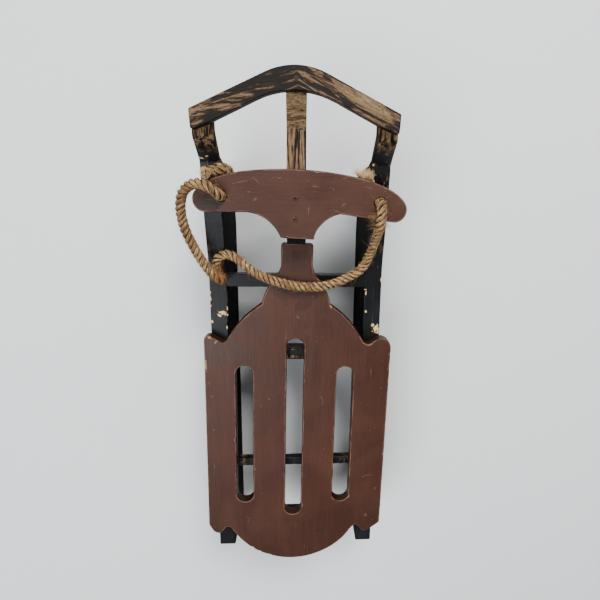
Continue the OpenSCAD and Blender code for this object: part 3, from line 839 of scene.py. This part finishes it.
def make_fibres(rope_line, end_line):
    """All stray fibres, in one piece for each part of the rope."""
    ends = [(HOLE_RIGHT, 16 * MM), (at(81.5, 408, 134), 12 * MM), (at(-75, 440, 141), 8 * MM)]
    kink = [(at(-81, 353, 102), 16 * MM)]
    crossing = [(at(14, 344, 107), 26 * MM)]

    def rope_hair(bm):
        fuzz(bm, rope_line, ROPE_D, 2100, seed=1, long_share=0.05)
        fuzz(bm, rope_line, ROPE_D, 170, seed=2, long_share=0.5, near=ends)
        fuzz(bm, rope_line, ROPE_D, 420, seed=3, long_share=0.15, near=kink)
        fuzz(bm, rope_line, ROPE_D, 26, seed=5, long_share=0.6, near=crossing)
        mouth_hairs(bm)
        knot = evenly(left_knot_line(), RING_STEP)[0]
        fuzz(bm, knot, KNOT_D, 260, seed=6, long_share=0.12)
        fuzz(bm, knot, KNOT_D, 90, seed=7, long_share=0.6, near=[(at(-75, 464, 116), 9 * MM)])

    stray = link(hairs_mesh("rope_stray_fibres", rope_hair), "rope_stray_fibres", FIBRE)

    def brush_hair(bm):
        left_brush(bm, end_line)

    left = link(hairs_mesh("left_end_brush", brush_hair), "left_end_brush", PALE_FIBRE)
    right = link(hairs_mesh("right_end_tuft", right_tuft), "right_end_tuft", PALE_FIBRE)
    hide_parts("right_rope_end")
    return [stray, left, right]


rope, rope_line, rope_length = make_rope()
knots, left_end_line = make_knots()
fibres = make_fibres(rope_line, left_end_line)

# Wood --------------------------------------------------------------------------------------

SHARP_ANGLE = math.radians(32)
FASTENER_HOLE = 8 * MM          # across; wider openings are rounded over


class Outline:
    """The closed line where a board's flat face meets its edges, ready to be rounded over."""

    def __init__(self, start, axis):
        """Walks the open edges from the edge start; the board's flat faces are gone by now."""
        self.verts = []
        self.edges = []
        edge, vert = start, start.verts[0]
        while True:
            self.edges.append(edge)
            self.verts.append(vert)
            vert = edge.other_vert(vert)
            following = [e for e in vert.link_edges if e.is_boundary and e is not edge]
            edge = following[0]
            if edge is start:
                break
        self.axis = axis

    def is_small_hole(self):
        """Whether this is the rim of a nail's or a screw's hole."""
        first = self.verts[0].co
        return max((v.co - first).length for v in self.verts) < FASTENER_HOLE

    def inward(self):
        """For each vertex, the way into the board, as long as one unit of inset needs it to be."""
        normals = []
        for edge in self.edges:
            n = edge.link_faces[0].normal.copy()
            n[self.axis] = 0
            normals.append(n.normalized())
        found = []
        for i in range(len(self.verts)):
            before, after = normals[i - 1], normals[i]
            mid = (before + after)
            mid = mid.normalized() if mid.length > 1e-6 else after
            found.append(-mid / max(mid.dot(after), 0.55))
        return found


def wear_radius(place, radius, wear, seed):
    """Edge radius at a place: uneven, with a few deeper dents."""
    slow = noise.noise(place * 45 + Vector((seed, 0, 0)))
    dent = max(0.0, noise.noise(place * 130 + Vector((0, seed, 5))) - 0.42) * 5
    return radius * (1 + wear * slow + 1.1 * min(dent, 1.0))


ROUND_STEPS = 4
EDGE_STEP = 1.6 * MM


def next_part(edge, start, parts):
    """Cuts the first of parts equal lengths off the edge; gives the rest of it and where it starts."""
    _, middle = bmesh.utils.edge_split(edge, start, 1 / parts)
    rest = [e for e in middle.link_edges if e.is_boundary and e.other_vert(middle) is not start]
    return rest[0], middle


def rounded_board(node, material, axis, radius, wear=0.35, seed=0):
    """The CAD board with the edges of its two faces along axis rounded over, more where it is worn.
    The rims of nail and screw holes stay as they are."""
    bm = bmesh.new()
    bm.from_mesh(nodes[node].data)
    bmesh.ops.remove_doubles(bm, verts=bm.verts, dist=0.001 * MM)
    bm.normal_update()
    reach = [v.co[axis] for v in bm.verts]
    for side, plane in ((1, max(reach)), (-1, min(reach))):
        caps = [f for f in bm.faces if f.normal[axis] * side > 0.999
                and abs(f.calc_center_median()[axis] - plane) < 0.01 * MM]
        bmesh.ops.delete(bm, geom=caps, context="FACES")
        for edge in [e for e in bm.edges if e.is_boundary]:
            parts = math.ceil(edge.calc_length() / EDGE_STEP)
            start = edge.verts[0]
            for left in range(parts, 1, -1):
                edge, start = next_part(edge, start, left)
        fill_edges, seen = [], set()
        for start in [e for e in bm.edges if e.is_boundary]:
            if start in seen:
                continue
            outline = Outline(start, axis)
            seen.update(outline.edges)
            if outline.is_small_hole():
                fill_edges += outline.edges
                continue
            fill_edges += round_over(bm, outline, axis, side, radius, wear, seed)
        up = Vector((0, 0, 0))
        up[axis] = side
        bmesh.ops.triangle_fill(bm, edges=fill_edges, use_beauty=True, normal=up)
    bmesh.ops.remove_doubles(bm, verts=bm.verts, dist=0.002 * MM)
    bmesh.ops.recalc_face_normals(bm, faces=bm.faces)
    for face in bm.faces:
        face.smooth = True
    for edge in bm.edges:
        edge.smooth = edge.calc_face_angle(0.0) < SHARP_ANGLE
    mesh = bpy.data.meshes.new(node + "_worn")
    bm.to_mesh(mesh)
    bm.free()
    piece = link(mesh, node + "_worn", material)
    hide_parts(node)
    weighted = piece.modifiers.new("flat_faces_stay_flat", "WEIGHTED_NORMAL")
    weighted.keep_sharp = True
    weighted.weight = 100
    return piece


def round_over(bm, outline, axis, side, radius, wear, seed):
    """Rings of faces from the board's edge in to its flat face; gives the last ring's edges."""
    verts = outline.verts
    count = len(verts)
    radii = [wear_radius(v.co, radius, wear, seed) for v in verts]
    rims = [v.co.copy() for v in verts]
    inner = [p + way * r for p, way, r in zip(rims, outline.inward(), radii)]
    for _ in range(12):
        for i in range(count):
            k = (i + 1) % count
            if (inner[k] - inner[i]).dot(rims[k] - rims[i]) < 0:
                inner[i] = inner[k] = (inner[i] + inner[k]) / 2
    rings = [verts]
    for j in range(1, ROUND_STEPS + 1):
        turn = math.pi / 2 * j / ROUND_STEPS
        ring = []
        for p, q, r in zip(rims, inner, radii):
            place = p.lerp(q, 1 - math.cos(turn))
            place[axis] = p[axis] - side * r * (1 - math.sin(turn))
            ring.append(bm.verts.new(place))
        rings.append(ring)
    for v, r in zip(verts, radii):
        v.co[axis] -= side * r
    for a, b in zip(rings, rings[1:]):
        for i in range(count):
            k = (i + 1) % count
            bm.faces.new((a[i], a[k], b[k], b[i]))
    last = rings[-1]
    return [bm.edges.get((last[i], last[(i + 1) % count])) for i in range(count)]


X_AXIS, Y_AXIS, Z_AXIS = range(3)
DECK_PAINT = deck_material()
BOW_WOOD = bow_material()
rounded_board("deck_board", DECK_PAINT, Z_AXIS, 1.3 * MM, seed=1)
rounded_board("steering_bar", bar_material(), Z_AXIS, 1.2 * MM, seed=2)
rounded_board("nose_bow", BOW_WOOD, Z_AXIS, 1.0 * MM, seed=3)
rounded_board("left_runner", left_runner_material(), X_AXIS, 0.9 * MM, seed=4)
rounded_board("right_runner", right_runner_material(), X_AXIS, 0.9 * MM, seed=5)
rounded_board("center_spine", spine_material(), X_AXIS, 0.9 * MM, seed=6)
CROSSBAR_PAINT = crossbar_material()
for crossbar in ("front_crossbar", "second_crossbar", "third_crossbar", "tail_crossbar"):
    rounded_board(crossbar, CROSSBAR_PAINT, Y_AXIS, 0.8 * MM, seed=7)

# Fasteners keep their CAD shape


def dress(node, material):
    for material_slot in nodes[node].material_slots:
        material_slot.material = material


dress("steering_screws", old_steel("screw_heads", srgb(50, 28, 20), srgb(88, 70, 58), 0.45))
dress("deck_nails", DECK_PAINT)
dress("bow_nails", BOW_WOOD)
dress("spine_nails", old_steel("spine_nail_heads", srgb(34, 24, 18), srgb(92, 78, 66), 0.3))
for side_nails in ("left_crossbar_nails", "right_crossbar_nails"):
    dress(side_nails, old_steel(side_nails + "_heads", srgb(10, 10, 11), srgb(70, 66, 62), 0.3))

# Floor and light ---------------------------------------------------------------------------


def make_floor():
    bpy.ops.mesh.primitive_plane_add(size=8, location=(0, 0, 0))
    floor = bpy.context.active_object
    floor.name = "floor"
    s = Surface("floor_pale")
    colour = s.mix(s.noise((3, 3, 3), detail=3.0), srgb(214, 216, 218), srgb(222, 223, 224))
    floor.data.materials.append(s.finish(colour, 0.7))


def soft_light(name, place, aim, size, watts, colour=(1, 1, 1)):
    data = bpy.data.lights.new(name, "AREA")
    data.shape = "DISK"
    data.size = size
    data.energy = watts
    data.color = colour
    lamp = bpy.data.objects.new(name, data)
    lamp.location = place
    lamp.rotation_mode = "QUATERNION"
    lamp.rotation_quaternion = (Vector(aim) - Vector(place)).to_track_quat("-Z", "Y")
    bpy.context.scene.collection.objects.link(lamp)


def make_light():
    world = bpy.data.worlds.new("studio")
    world.use_nodes = True
    world.node_tree.nodes["Background"].inputs["Color"].default_value = (0.93, 0.96, 1.0, 1.0)
    world.node_tree.nodes["Background"].inputs["Strength"].default_value = 0.55
    bpy.context.scene.world = world
    soft_light("key_from_nose", (0.35, 1.6, 1.7), (0, 0.05, 0.1), 0.9, 76, (1.0, 0.985, 0.96))
    soft_light("fill_overhead", (-0.9, -0.5, 2.0), (0, 0, 0.1), 1.4, 46, (0.95, 0.98, 1.0))


make_floor()
make_light()
